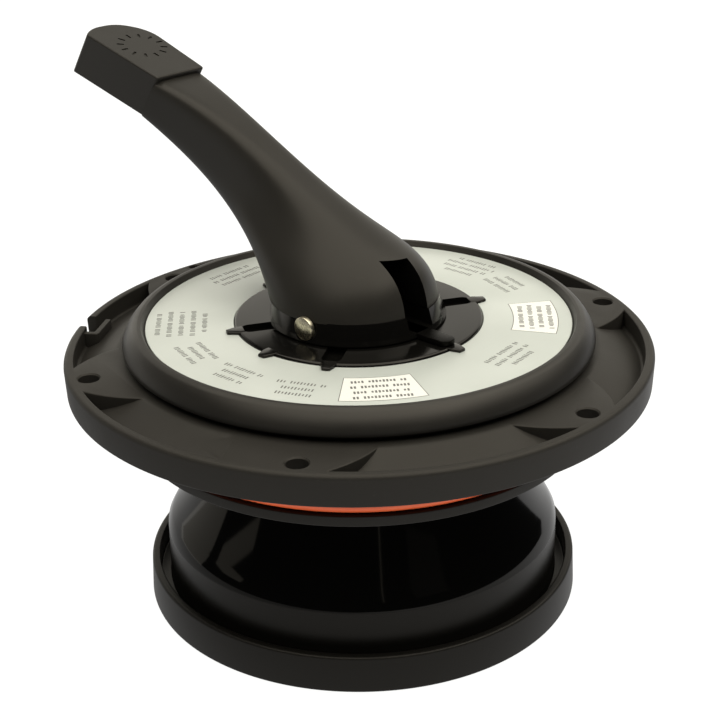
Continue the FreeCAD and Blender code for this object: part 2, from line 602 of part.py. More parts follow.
def make_grip_cap():
    """End cap over the lever's tenon, and the screw that holds it from below."""
    tip = [Vector(along, across, 0) for along, across in CAP_TIP]
    near, far = Vector(0, d.cap_seam_half.value, 0), Vector(0, -d.cap_seam_half.value, 0)
    outline = Part.Wire([
        Part.makeLine(near, tip[0]), Part.Arc(tip[0], tip[1], tip[2]).toShape(),
        Part.Arc(tip[2], tip[3], tip[4]).toShape(), Part.makeLine(tip[4], far), Part.makeLine(far, near)])
    top = Part.Face(outline)
    top.Placement = Placement(Vector(d.cap_x.value, 0, d.cap_z.value),
                              Rotation(Vector(0, 1, 0), -d.cap_angle.value))
    back, belly = LEVER_BACK[-1], LEVER_BELLY[-1]
    down = Vector(belly[0] - back[0], 0, belly[1] - back[1]).normalize()
    form = doc.addObject("Part::Feature", "cap_form")
    form.Shape = top.extrude(down * d.cap_depth.value)
    cut("grip_cap", form, tenon_box("cap_socket", d.close_fit), *cap_screw_tools("cap_hole", d.close_fit))
    fuse("grip_cap_screw", *cap_screw_tools("cap_screw", 0.0))


def make_pivot():
    """Domed pin along Y through the lever's cheeks and the tang, and its push-on clip."""
    body = new_body("pivot_pin")
    seat, end = d.pin_head_seat, d.pin_end
    turned(body, "pin_shape", [
        (0, end), (d.pin_radius - 0.4, end), (d.pin_radius, end + 0.4), (d.pin_radius, seat),
        (d.pin_head_radius, seat), (d.pin_head_radius, seat + d.pin_head_height),
        (d.pin_flat_radius, seat + d.pin_head_height + d.pin_dome),
        (0, seat + d.pin_head_height + d.pin_dome)], arcs={5: (d.pin_dome_radius, -1)}, role="XY_Plane")
    place(body, x=d.pin_x, z=d.pin_z)
    gap = d.joint_gap * 0.5
    start = d.clip_seat - gap - d.clip_thickness
    disc = across_pin("clip_disc", d.clip_outer_radius, start, d.clip_thickness)
    hole = across_pin("clip_hole", d.pin_radius + d.close_fit, start - 1, d.clip_thickness + 2)
    cut("pin_clip", disc, hole)


make_cover()
make_index_plate()
make_plate_screws()
make_rotor()
make_seals_and_washers()
make_spring()
make_lever()
make_grip_cap()
make_pivot()
doc.recompute()

PIECES = [
    "cover", "index_plate", "index_plate_screws", "position_label", "cover_o_ring", "thrust_washer",
    "spring_washer_upper", "spring_washer_lower", "return_spring", "rotor", "stem_o_ring_lower",
    "stem_o_ring_upper", "lever", "grip_cap", "grip_cap_screw", "pivot_pin", "pin_clip",
]

for item in doc.Objects:
    if any(flag in item.State for flag in ("Invalid", "Error")):
        raise RuntimeError(f"{item.Name} failed: {item.State} {item.getStatusString()}")

os.makedirs("parts", exist_ok=True)
for label in PIECES:
    piece = doc.getObjectsByLabel(label)[0]
    shape = piece.Shape
    if shape.isNull() or not shape.isValid() or not shape.Solids:
        raise RuntimeError(f"{label} has no valid solid")
    shape.exportStep(f"parts/{label}.step")
    bounds = shape.BoundBox
    print(f"{label}: {len(shape.Solids)} solid(s), {shape.Volume:.0f} mm3, "
          f"z {bounds.ZMin:.1f} to {bounds.ZMax:.1f}")
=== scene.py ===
import bpy
import math
from mathutils import Matrix, Vector


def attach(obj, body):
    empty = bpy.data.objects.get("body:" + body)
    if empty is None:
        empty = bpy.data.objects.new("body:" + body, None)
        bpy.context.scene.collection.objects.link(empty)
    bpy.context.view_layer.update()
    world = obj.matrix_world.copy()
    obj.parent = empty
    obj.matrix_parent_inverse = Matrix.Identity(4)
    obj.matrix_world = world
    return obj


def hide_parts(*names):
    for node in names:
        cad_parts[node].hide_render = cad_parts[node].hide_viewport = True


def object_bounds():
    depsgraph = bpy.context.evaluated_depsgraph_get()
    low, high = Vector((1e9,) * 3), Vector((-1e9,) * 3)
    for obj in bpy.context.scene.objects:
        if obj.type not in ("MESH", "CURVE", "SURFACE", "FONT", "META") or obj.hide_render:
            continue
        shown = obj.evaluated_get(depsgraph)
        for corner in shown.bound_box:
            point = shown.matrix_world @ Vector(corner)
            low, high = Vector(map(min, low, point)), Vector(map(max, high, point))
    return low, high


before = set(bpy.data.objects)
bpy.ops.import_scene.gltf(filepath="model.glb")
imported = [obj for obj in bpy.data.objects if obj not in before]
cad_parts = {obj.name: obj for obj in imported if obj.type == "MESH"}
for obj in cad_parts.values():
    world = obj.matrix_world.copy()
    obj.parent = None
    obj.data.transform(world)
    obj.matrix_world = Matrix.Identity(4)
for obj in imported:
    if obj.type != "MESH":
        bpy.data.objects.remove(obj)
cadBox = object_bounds()
mm = 0.001
print("frame loaded:", len(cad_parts), "nodes")


# ---------- camera, floor and light ----------
camera = {"across": 457.0, "azimuth": 133.5, "height": 205.1, "lens": 76.35, "sensor": 36, "nearest": 0.01,
          "fall": -23.12, "tilt": -0.0146, "swing": 0.00043, "roll": -1.01}
studio = {
    "floorSize": 14.0, "floorColours": ((0.05, 0.05, 0.05, 1), (0.06, 0.06, 0.06, 1)), "floorGlow": 0.99,
    "mirrored": (0.42, 0.88), "mirroredFrom": (-0.25, 0.35),   # the mirrored floor's glow, left and right
    "sky": 0.03, "lightColour": (1.0, 0.955, 0.85), "aim": (0, 0, -0.02),
    # each card: azimuth and distance of its foot, height of its middle, width, height, brightness
    "cards": {"top": (133.5, 0.16, 1.15, 1.9, 1.9, 2.55), "back": (-46.5, 1.5, 0.62, 3.0, 1.3, 0.90),
              "right": (-118, 1.0, 0.85, 0.9, 0.6, 2.0), "left": (5, 0.95, 0.07, 1.15, 0.29, 0.55),
              "rightFront": (198, 0.75, 0.92, 0.6, 0.5, 1.7), "leftWindow": (53, 0.95, 0.25, 0.34, 0.10, 0.5),
              "gap": (144.5, 0.85, 0.46, 0.008, 0.32, 0.8), "warm": (172, 0.95, 0.50, 0.34, 0.30, 0.05)}}


def addCamera():
    azimuth, fall = math.radians(camera["azimuth"]), math.radians(camera["fall"])
    outward = Vector((math.cos(azimuth), math.sin(azimuth), 0))
    place = outward * camera["across"] + Vector((0, 0, camera["height"]))
    inward = outward * -math.cos(fall) + Vector((0, 0, math.sin(fall)))
    right = Vector((-math.sin(azimuth), math.cos(azimuth), 0))
    up = right.cross(inward)
    look = (inward + right * camera["swing"] + up * camera["tilt"]).normalized()
    side = look.cross(Vector((0, 0, 1))).normalized()
    over = side.cross(look)
    roll = math.radians(camera["roll"])
    across = side * math.cos(roll) + over * math.sin(roll)
    upward = over * math.cos(roll) - side * math.sin(roll)
    turn = Matrix((across, upward, -look)).transposed().to_4x4()
    made = bpy.data.objects.new("camera", bpy.data.cameras.new("camera"))
    made.data.lens = camera["lens"]
    made.data.sensor_width = camera["sensor"]
    made.data.clip_start = camera["nearest"]
    made.matrix_world = Matrix.Translation(place * mm) @ turn
    bpy.context.scene.collection.objects.link(made)
    bpy.context.scene.camera = made


def addCard(name, azimuth, distance, height, width, tall, brightness):   # it glows and faces the valve
    turn = math.radians(azimuth)
    place = Vector((math.cos(turn) * distance, math.sin(turn) * distance, height))
    lamp = bpy.data.objects.new(name + "Card", bpy.data.lights.new(name + "Card", "AREA"))
    lamp.data.shape = "RECTANGLE"
    lamp.data.size, lamp.data.size_y = width, tall
    lamp.data.energy = brightness * math.pi * width * tall
    lamp.data.color = studio["lightColour"]
    lamp.location = place
    lamp.rotation_euler = (Vector(studio["aim"]) - place).to_track_quat("-Z", "Y").to_euler()
    bpy.context.scene.collection.objects.link(lamp)


addCamera()
bpy.context.scene.view_settings.view_transform = "Standard"
world = bpy.data.worlds.new("studio")
bpy.context.scene.world = world
world.use_nodes = True
world.node_tree.nodes["Background"].inputs["Color"].default_value = (1, 1, 0.985, 1)
world.node_tree.nodes["Background"].inputs["Strength"].default_value = studio["sky"]
for card, shape in studio["cards"].items():
    addCard(card, *shape)
print("camera and light ready")


# ---------- finishes ----------
class Link:                                        # a socket that can be added, multiplied and so on
    def __init__(self, finish, socket):
        self.finish, self.socket = finish, socket

    def calc(self, how, first, second):
        return self.finish.node("ShaderNodeMath", {"operation": how}, {0: first, 1: second})

    def __add__(self, other):
        return self.calc("ADD", self, other)

    def __sub__(self, other):
        return self.calc("SUBTRACT", self, other)

    def __rsub__(self, other):
        return self.calc("SUBTRACT", other, self)

    def __mul__(self, other):
        return self.calc("MULTIPLY", self, other)

    def __pow__(self, other):
        return self.calc("POWER", self, other)

    __radd__ = __add__
    __rmul__ = __mul__


class Finish:                                      # a material, built node by node
    def __init__(self, name, **fixed):
        self.material = bpy.data.materials.new(name)
        self.material.use_nodes = True
        self.tree = self.material.node_tree
        self.shader = self.tree.nodes["Principled BSDF"]
        self.place = self.node("ShaderNodeTexCoord", output="Object")
        for socket, value in fixed.items():
            self.shader.inputs[socket.replace("_", " ")].default_value = value

    def node(self, kind, settings=None, inputs=None, output=0):
        made = self.tree.nodes.new(kind)
        for key, value in (settings or {}).items():
            setattr(made, key, value)
        for key, value in (inputs or {}).items():
            self.feed(made.inputs[key], value)
        return Link(self, made.outputs[output])

    def feed(self, socket, value):
        if isinstance(value, Link):
            self.tree.links.new(value.socket, socket)
        else:
            socket.default_value = value

    def noise(self, size, detail=3.0, stretch=None):     # size is the width of a blot, in mm
        place = self.place
        if stretch:
            place = self.node("ShaderNodeMapping", None, {"Vector": place, "Scale": stretch})
        return self.node("ShaderNodeTexNoise", None,
                         {"Vector": place, "Scale": 1000 / size, "Detail": detail, "Roughness": 0.6})

    def ramp(self, value, low, high):                    # 0 under low, 1 over high
        return self.node("ShaderNodeMapRange", {"interpolation_type": "SMOOTHSTEP"},
                         {"Value": value, "From Min": low, "From Max": high})

    def blendColour(self, factor, first, second):
        return self.node("ShaderNodeMix", {"data_type": "RGBA"}, {0: factor, 6: first, 7: second}, output=2)

    def bump(self, height, depth, strength=1.0):         # depth in mm
        return self.node("ShaderNodeBump", None,
                         {"Height": height, "Distance": depth * mm, "Strength": strength}, output="Normal")

    def radiusAndHeight(self):                           # distance from the valve's axis, and height, in mm
        parts = self.node("ShaderNodeSeparateXYZ", None, {0: self.place})
        split = parts.socket.node
        x, y, z = (Link(self, split.outputs[i]) for i in range(3))
        return (x * x + y * y) ** 0.5 * 1000, z * 1000

    def wear(self, **links):
        for socket, value in links.items():
            self.feed(self.shader.inputs[socket.replace("_", " ")], value)
        return self.material


plasticTint = (1.0, 0.95, 0.87, 1)


def mouldedFinish(name, look):
    finish = Finish(name, IOR=1.46, Specular_IOR_Level=look.get("shine", 0.3), Specular_Tint=plasticTint)
    grain = finish.noise(look["grain"], 2.0)
    cloud = finish.noise(26.0, 4.0)
    dust = finish.ramp(finish.noise(1.1, 5.0), 0.63, 0.80)
    dark, light = look["colours"]
    tone = finish.blendColour(cloud, (*dark, 1), (*light, 1))
    tone = finish.blendColour(dust * look.get("dust", 0.05), tone, (0.30, 0.29, 0.26, 1))
    low, high = look["roughness"]
    rough = low + (high - low) * finish.ramp(cloud, 0.3, 0.7) + grain * 0.05
    return finish.wear(Base_Color=tone, Roughness=rough, Normal=finish.bump(grain, look["depth"], 0.5))


coverFinish = mouldedFinish("satinCover", {
    "colours": ((0.0170, 0.0158, 0.0138), (0.0225, 0.0210, 0.0186)), "roughness": (0.42, 0.50),
    "grain": 0.42, "depth": 0.030, "dust": 0.05, "shine": 0.24})
domeFinish = mouldedFinish("satinDome", {
    "colours": ((0.0100, 0.0093, 0.0082), (0.0135, 0.0126, 0.0112)), "roughness": (0.36, 0.43),
    "grain": 0.40, "depth": 0.020, "dust": 0.03, "shine": 0.42})
discFinish = mouldedFinish("polishedDisc", {
    "colours": ((0.0026, 0.0025, 0.0022), (0.0036, 0.0034, 0.0031)), "roughness": (0.10, 0.15),
    "grain": 0.9, "depth": 0.004, "dust": 0.02, "shine": 0.30})
leverFinish = mouldedFinish("satinLever", {
    "colours": ((0.0150, 0.0140, 0.0120), (0.0195, 0.0182, 0.0160)), "roughness": (0.36, 0.42),
    "grain": 0.35, "depth": 0.018, "dust": 0.02, "shine": 0.26})
capFinish = mouldedFinish("satinCap", {
    "colours": ((0.0150, 0.0140, 0.0122), (0.0185, 0.0173, 0.0152)), "roughness": (0.36, 0.41),
    "grain": 0.30, "depth": 0.014, "dust": 0.02, "shine": 0.26})
skirtFinish = mouldedFinish("polishedSkirt", {
    "colours": ((0.0026, 0.0025, 0.0022), (0.0036, 0.0034, 0.0031)), "roughness": (0.10, 0.15),
    "grain": 0.8, "depth": 0.004, "dust": 0.02, "shine": 0.34})
# painted shade: a near-black, barely reflecting finish for the tongue and the slot's walls, standing in for the
# shade inside the lever's slot
tongueAndSlotShadeFinish = mouldedFinish("tongueAndSlotPaintedShade", {
    "colours": ((0.0022, 0.0021, 0.0019), (0.0034, 0.0032, 0.0029)), "roughness": (0.22, 0.30),
    "grain": 0.6, "depth": 0.006, "dust": 0.02, "shine": 0.08})


def rotorLook():                                   # polished cone, brushed sealing bands, matte outer ring
    finish = Finish("polishedRotor", IOR=1.46, Specular_IOR_Level=0.25, Specular_Tint=plasticTint)
    radius, height = finish.radiusAndHeight()
    cloud = finish.noise(30.0, 3.0)
    turning = finish.noise(0.5, 2.0, (0.02, 0.02, 1.0))
    band = finish.ramp(height, -52.6, -53.2)
    ring = finish.ramp(radius, 68.6, 69.2)
    matte = finish.node("ShaderNodeMath", {"operation": "MAXIMUM"}, {0: ring, 1: band * 0.75})
    rough = 0.055 + 0.03 * cloud + matte * 0.34
    tone = finish.blendColour(matte, (0.0012, 0.0012, 0.0011, 1), (0.0070, 0.0065, 0.0056, 1))
    grain = finish.noise(0.4, 2.0) * matte + turning * band * 0.5
    return finish.wear(Base_Color=tone, Roughness=rough, Normal=finish.bump(grain, 0.02, 0.4))


def filmLook():                                    # printed silver film with a very fine brushing
    finish = Finish("silverFilm", IOR=1.5, Metallic=0.1)
    brushing = finish.noise(0.5, 3.0, (1.0, 0.04, 1.0))
    cloud = finish.noise(45.0, 2.0)
    tone = finish.blendColour(finish.ramp(cloud, 0.3, 0.7), (0.49, 0.525, 0.495, 1), (0.565, 0.60, 0.57, 1))
    tone = finish.blendColour(brushing * 0.12, tone, (0.45, 0.46, 0.42, 1))
    return finish.wear(Base_Color=tone, Roughness=0.30 + brushing * 0.12,
                       Normal=finish.bump(brushing, 0.004, 0.3))


def inkLook(name, colour):
    finish = Finish(name)
    fade = finish.noise(0.7, 4.0)
    return finish.wear(Base_Color=finish.blendColour(fade * 0.35, (*colour, 1), (0.30, 0.30, 0.28, 1)),
                       Roughness=0.35 + fade * 0.2)


def rubberLook(name, dark, light, rough):
    finish = Finish(name, IOR=1.5)
    cloud = finish.noise(9.0, 4.0)
    grain = finish.noise(0.5, 2.0)
    return finish.wear(Base_Color=finish.blendColour(cloud, (*dark, 1), (*light, 1)),
                       Roughness=rough + grain * 0.1, Normal=finish.bump(grain, 0.02, 0.4))


def metalLook(name, colour, rough, streak):
    finish = Finish(name, Metallic=1.0)
    lines = finish.noise(0.35, 3.0, streak)
    cloud = finish.noise(5.0, 3.0)
    tone = finish.blendColour(cloud * 0.35, (*colour, 1), (*(0.72 * c for c in colour), 1))
    return finish.wear(Base_Color=tone, Roughness=rough + lines * 0.12,
                       Normal=finish.bump(lines, 0.006, 0.35))


rotorFinish = rotorLook()
filmFinish = filmLook()
inkFinish = inkLook("darkInk", (0.085, 0.085, 0.080))
panelFinish = inkLook("whiteInk", (0.86, 0.87, 0.83))
redRubber = rubberLook("redRubber", (0.80, 0.110, 0.030), (0.95, 0.170, 0.055), 0.34)
blackRubber = rubberLook("blackRubber", (0.012, 0.012, 0.012), (0.022, 0.022, 0.021), 0.42)
steelFinish = metalLook("plainSteel", (0.58, 0.57, 0.55), 0.24, (1.0, 1.0, 0.1))
wireFinish = metalLook("drawnWire", (0.50, 0.49, 0.46), 0.30, (0.15, 1.0, 1.0))
nickelFinish = metalLook("nickelPin", (0.72, 0.66, 0.50), 0.22, (1.0, 0.2, 1.0))
slipFinish = mouldedFinish("slipPlastic", {
    "colours": ((0.020, 0.020, 0.021), (0.030, 0.030, 0.031)), "roughness": (0.30, 0.40),
    "grain": 0.5, "depth": 0.01})
print("finishes ready")


# ---------- ways of making a mesh ----------
def clearAll():
    if bpy.context.mode != "OBJECT":
        bpy.ops.object.mode_set(mode="OBJECT")
    bpy.ops.object.select_all(action="DESELECT")


def activate(*pieces):
    clearAll()
    for piece in pieces:
        piece.select_set(True)
    bpy.context.view_layer.objects.active = pieces[0]


def named(name):
    piece = bpy.context.object
    piece.name = piece.data.name = name
    return piece


def tidy(piece, angle=32):                         # merge, drop loose bits, turn the faces outwards, shade
    activate(piece)
    bpy.ops.object.mode_set(mode="EDIT")
    bpy.ops.mesh.select_all(action="SELECT")
    bpy.ops.mesh.remove_doubles(threshold=0.002 * mm)
    bpy.ops.mesh.delete_loose()
    bpy.ops.mesh.select_all(action="SELECT")
    bpy.ops.mesh.normals_make_consistent(inside=False)
    bpy.ops.object.mode_set(mode="OBJECT")
    bpy.ops.object.shade_smooth_by_angle(angle=math.radians(angle))
    return piece


def rounded(corners, steps=5):                     # corners are (across, up) or (across, up, radius)
    points = []
    for i, corner in enumerate(corners):
        here = Vector(corner[:2])
        radius = corner[2] if len(corner) > 2 else 0
        before = Vector(corners[i - 1][:2]) - here
        after = Vector(corners[(i + 1) % len(corners)][:2]) - here
        if not radius:
            points.append(here)
            continue
        before.normalize()
        after.normalize()
        half = before.angle(after) / 2
        middle = here + (before + after).normalized() * (radius / math.sin(half))
        reach = radius / math.tan(half)
        start, stop = here + before * reach, here + after * reach
        for k in range(steps + 1):
            spot = start.lerp(stop, k / steps) - middle
            points.append(middle + spot.normalized() * radius)
    return points


def bowed(start, stop, sag, steps=12):             # points along a shallow arc, bent left by sag
    start, stop = Vector(start), Vector(stop)
    chord = stop - start
    side = Vector((-chord.y, chord.x)).normalized()
    return [start + chord * t + side * (4 * sag * t * (1 - t)) for t in (k / steps for k in range(1, steps))]


def spunPiece(name, outline, steps=192, turn=360.0, start=0.0):
    clearAll()
    bpy.ops.mesh.primitive_circle_add(vertices=len(outline), radius=0.05)
    piece = named(name)
    a = math.radians(start)
    for vertex, (r, z) in zip(piece.data.vertices, outline):
        vertex.co = (r * math.cos(a) * mm, r * math.sin(a) * mm, z * mm)
    bpy.ops.object.mode_set(mode="EDIT")
    bpy.ops.mesh.select_all(action="SELECT")
    if turn < 360:
        bpy.ops.mesh.edge_face_add()
    bpy.ops.mesh.spin(steps=steps, angle=math.radians(turn), center=(0, 0, 0), axis=(0, 0, 1))
    return tidy(piece)


def prismPiece(name, outline, low, high, azimuth=0.0, soften=0.0, segments=3):
    clearAll()
    bpy.ops.mesh.primitive_circle_add(vertices=len(outline), radius=0.05, fill_type="NGON")
    piece = named(name)
    turn = Matrix.Rotation(math.radians(azimuth), 4, "Z")
    for vertex, (x, y) in zip(piece.data.vertices, outline):
        vertex.co = turn @ Vector((x * mm, y * mm, low * mm))
    bpy.ops.object.mode_set(mode="EDIT")
    bpy.ops.mesh.select_all(action="SELECT")
    bpy.ops.mesh.extrude_region_move(TRANSFORM_OT_translate={"value": (0, 0, (high - low) * mm)})
    if soften:
        bpy.ops.mesh.bevel(offset=soften * mm, segments=segments, affect="EDGES")
    return tidy(piece)


def wrappedPiece(name, around, along, surface):    # a grid rolled up by surface(u, v), its ends closed
    clearAll()
    bpy.ops.mesh.primitive_grid_add(x_subdivisions=around, y_subdivisions=along, size=1)
    piece = named(name)
    for vertex in piece.data.vertices:
        vertex.co = Vector(surface(vertex.co.x + 0.5, vertex.co.y + 0.5)) * mm
    tidy(piece)
    bpy.ops.object.mode_set(mode="EDIT")
    bpy.ops.mesh.select_mode(type="EDGE")
    bpy.ops.mesh.select_all(action="DESELECT")
    bpy.ops.mesh.select_non_manifold()
    bpy.ops.mesh.edge_face_add()
    bpy.ops.mesh.select_mode(type="VERT")
    return tidy(piece)


def moved(piece, place):
    piece.data.transform(Matrix.Translation(Vector(place) * mm))
    return piece


def repeated(piece, count):                        # copies about the valve's axis, joined to the first
    copies = [piece]
    for i in range(1, count):
        copy = piece.copy()
        copy.data = piece.data.copy()
        copy.data.transform(Matrix.Rotation(2 * math.pi * i / count, 4, "Z"))
        bpy.context.scene.collection.objects.link(copy)
        copies.append(copy)
    return joined(copies)


def joined(pieces):
    activate(*pieces)
    bpy.ops.object.join()
    return bpy.context.object


def carved(piece, tool, how="DIFFERENCE"):
    modifier = piece.modifiers.new("carving", "BOOLEAN")
    modifier.operation, modifier.object, modifier.solver = how, tool, "EXACT"
    activate(piece)
    bpy.ops.object.modifier_apply(modifier="carving")
    bpy.data.objects.remove(tool)
    return tidy(piece)


def dressed(piece, body, finish, slot, *nodes, second=None, where=None):
    piece.data.materials.clear()
    piece.data.materials.append(finish)
    if second:                                     # it goes on the faces that where(face) picks
        piece.data.materials.append(second)
        piece.data.polygons.foreach_set("material_index", [int(where(face)) for face in piece.data.polygons])
    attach(piece, body)
    if nodes:
        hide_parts(*nodes)
    return piece


# ---------- cover ----------
cover = {
    "rim": 95.0, "rimInside": 91.8, "rimTop": 10.0, "shelf": 78.0, "valleyFloor": 3.2, "underside": 0.02,
    "platform": 73.2, "platformTop": 13.0, "spigot": 68.4, "lip": 73.75, "lipTop": -14.6, "lipBottom": -18.1,
    # inside: the wall, the sloping shoulder, the roof, and the collar round the stem
    "inside": 64.0, "shoulder": 4.5, "roofEdge": 59.0, "roof": 9.5,
    "collar": 17.0, "collarEnd": -14.0, "bore": 11.05,
    "bosses": 6, "firstBoss": 2.0, "bossHalf": 8.0, "bossFoot": 75.0, "bossFootHalf": 20.5, "bossStart": 1.8,
    "holeCircle": 88.2, "hole": 3.3, "holeEdge": 0.7, "notch": 32.7,
    "dimple": -5.5, "dimpleCircle": 91.7, "dimpleHole": 1.7, "rampTurn": 122.0,
    # ends of the ramp's two stretches: across the boss, inner and outer reach, top
    "ramp": [(-6.0, 76.0, 93.4, 9.99), (-21.0, 73.5, 91.4, 9.99), (-50.0, 61.0, 79.5, 3.0)],
    "guard": [(92.6, 6.6), (92.6, 4.7), (88.7, 4.7, 0.4), (88.7, -6.6), (86.8, -6.6), (86.8, 6.6, 1.2)],
    "notchCut": [(89.8, -5.3), (98, -5.3), (98, 3.4), (89.8, 3.4)]}


def makeRampPart(near, far):                       # one stretch, with straight sides
    corners = [(near[1], near[0]), (near[2], near[0]), (far[2], far[0]), (far[1], far[0])]
    part = prismPiece("ramp", corners, cover["bossStart"], 9.0)
    for vertex in part.data.vertices:
        if vertex.co.z > 0.005:
            end = near if vertex.co.y * 1000 > (near[0] + far[0]) / 2 else far
            vertex.co.z = end[3] * mm
    part.data.transform(Matrix.Rotation(math.radians(cover["rampTurn"]), 4, "Z"))
    return tidy(part)


def onCircle(piece, radius, azimuth):
    return moved(piece, (radius * math.cos(math.radians(azimuth)), radius * math.sin(math.radians(azimuth)), 0))


def makeCover():
    c = cover
    body = spunPiece("coverBody", rounded([
        (c["bore"], c["platformTop"]), (c["platform"], c["platformTop"]), (c["platform"], c["rimTop"], 0.5),
        (c["shelf"], c["rimTop"], 4.0), (c["rimInside"], c["valleyFloor"], 0.9),
        (c["rimInside"], c["rimTop"], 0.45), (c["rim"], c["rimTop"], 1.5),
        (c["rim"] - 0.4, c["underside"], 0.6), (c["spigot"], c["underside"], 0.8),
        (c["spigot"], c["lipTop"], 0.3), (c["lip"], c["lipTop"], 0.35), (c["lip"], c["lipBottom"], 0.5),
        (c["inside"], c["lipBottom"], 0.4), (c["inside"], c["shoulder"], 1.0), (c["roofEdge"], c["roof"], 1.0),
        (c["collar"], c["roof"], 0.8), (c["collar"], c["collarEnd"], 0.5), (c["bore"], c["collarEnd"], 0.4)]),
        steps=240)
    outer, half, footHalf = c["rimInside"] + 0.8, c["bossHalf"], c["bossFootHalf"]
    flare = bowed((outer, half), (c["bossFoot"], footHalf), -1.5)
    sides = [Vector((outer, -half)), Vector((outer, half))]
    foot = [Vector((c["bossFoot"], footHalf)), Vector((c["bossFoot"], -footHalf))]
    mirrored = [Vector((p.x, -p.y)) for p in reversed(flare)]
    boss = prismPiece("boss", sides + flare + foot + mirrored, c["bossStart"], c["rimTop"] - 0.01,
                      c["firstBoss"], 0.4)
    guard = prismPiece("guard", rounded(c["guard"]), c["bossStart"], 8.8, c["notch"], 0.35)
    carved(body, repeated(boss, c["bosses"]), "UNION")
    for near, far in zip(c["ramp"], c["ramp"][1:]):   # it rises out of the valley to the second boss
        carved(body, makeRampPart(near, far), "UNION")
    carved(body, guard, "UNION")
    wide = c["hole"] + c["holeEdge"]
    hole = spunPiece("hole", [(0, -2), (c["hole"], -2), (c["hole"], 9.55), (wide, 10.2), (0, 10.2)], 40)
    carved(body, repeated(onCircle(hole, c["holeCircle"], c["firstBoss"]), c["bosses"]))
    carved(body, prismPiece("notchTool", c["notchCut"], 3.4, 12, c["notch"]))
    wide = c["dimpleHole"] + 0.4
    narrow = c["dimpleHole"]
    dimple = spunPiece("dimple", [(0, 6), (narrow, 6), (narrow, 9.7), (wide, 10.2), (0, 10.2)], 24)
    carved(body, onCircle(dimple, c["dimpleCircle"], c["dimple"]))
    return dressed(body, "cover", coverFinish, "black_cover", "cover")


makeCover()
print("cover made")


# ---------- index plate and its label ----------
plate = {"disc": 40.1, "discTop": 18.3, "seat": 17.0, "bore": 11.9, "underside": 13.02,
         "washer": 20.4, "washerFloor": 17.3,      # the recess for the thrust washer
         "dome": ((76.4, 12.3), (71.7, 19.2)), "domeBow": -0.75, "domeTop": 19.2, "domeFoot": 12.12,
         "slots": 6, "slotInner": 26.5, "slotOuter": 38.8, "slotHalf": 3.1, "spare": 90.0,
         "pointer": [(37.9, -2.5), (40.1, -2.5), (43.6, -1.25, 0.4), (43.6, 1.25, 0.4), (40.1, 2.5),
                     (37.9, 2.5)],
         "pointerLow": 17.52, "pointerTop": 18.38}


def isDisc(face):                                  # the disc inside the label is polished, the dome is satin
    return face.center.xy.length < 0.0405 and face.center.z > 0.0145


def makeIndexPlate():
    p = plate
    body = spunPiece("indexPlateBody", rounded([
        (p["bore"], p["underside"]), (73.5, p["underside"]), (73.5, p["domeFoot"]), (76.1, p["domeFoot"]),
        *[tuple(v) for v in bowed(*p["dome"], p["domeBow"])],
        (71.0, p["domeTop"], 0.5), (69.9, p["domeTop"], 0.3), (68.8, p["seat"], 0.15),
        (p["disc"], p["seat"], 0.1), (p["disc"], p["discTop"], 0.9),
        (p["washer"], p["discTop"], 0.25), (p["washer"], p["washerFloor"], 0.1),
        (p["bore"], p["washerFloor"], 0.2)]), steps=240)
    slot = rounded([(p["slotInner"], -p["slotHalf"], 0.5), (p["slotOuter"], -p["slotHalf"], 3.0),
                    (p["slotOuter"], p["slotHalf"], 3.0), (p["slotInner"], p["slotHalf"], 0.5)], 8)
    carved(body, repeated(prismPiece("slotTool", slot, p["discTop"] - 2, p["discTop"] + 1), p["slots"]))
    nub, low, high = rounded(p["pointer"]), p["pointerLow"], p["pointerTop"]
    pointers = joined([repeated(prismPiece("pointers", nub, low, high, 0, 0.25), p["slots"]),
                       prismPiece("sparePointer", nub, low, high, p["spare"], 0.25)])
    dressed(pointers, "cover", skirtFinish, "black_gloss")
    dressed(body, "cover", domeFinish, "black_gloss", "index_plate", second=discFinish, where=isDisc)


label = {"inner": 40.35, "outer": 68.5, "low": 17.02, "top": 17.5,
         # blocks of plain bars: azimuth, middle radius, and the width in mm of each row from the outside in
         "blocks": [(47, 57, (18, 22, 20, 22, 16)), (72, 57, (15, 11, 15)), (93, 57, (13, 11, 16)),
                    (115, 57.5, (12, 11, 16)), (188, 57, (12, 19, 19)), (252, 57, (11, 14, 15)),
                    (272, 58, (16, 20, 18, 12)), (0, 58, (18, 22, 20)), (308, 57, (14, 18, 16))],
         "rowGap": 3.7, "bar": (1.65, 0.42), "barGap": 1.05,
         # plain panels: first and last azimuth, inner and outer radius
         "panels": [(128.0, 151.5, 48.0, 63.6), (208.0, 233.0, 50.0, 64.0)], "panelRows": 4,
         "panelBar": (1.6, 0.62), "border": 0.25}


def rowOfBars(azimuth, radius, width, bar):        # short plain bars side by side, some of them lower
    height, wide = bar
    count = max(2, int(width / label["barGap"]))
    a = math.radians(azimuth)
    outward, along = Vector((math.cos(a), math.sin(a))), Vector((math.sin(a), -math.cos(a)))
    row = []
    for k in range(count):
        if (k * 7 + int(width) * 3) % 9 == 8 and width > 12:
            continue                               # a gap between two groups
        middle = outward * radius + along * ((k - (count - 1) / 2) * label["barGap"])
        tall = height * (1.0 if (k * 5 + count) % 3 else 0.72)
        row.append([middle + along * (sx * wide / 2) + outward * (sy * tall / 2)
                    for sx, sy in ((-1, -1), (1, -1), (1, 1), (-1, 1))])
    return row


def panelOutline(start, stop, inner, outer, grow=0.0):   # part of a ring, widened all round by grow
    spread = math.degrees(grow / outer)
    angles = [math.radians(start - spread + (stop - start + 2 * spread) * k / 10) for k in range(11)]
    ring = [Vector((math.cos(t), math.sin(t))) * (inner - grow) for t in angles]
    return ring + [Vector((math.cos(t), math.sin(t))) * (outer + grow) for t in reversed(angles)]


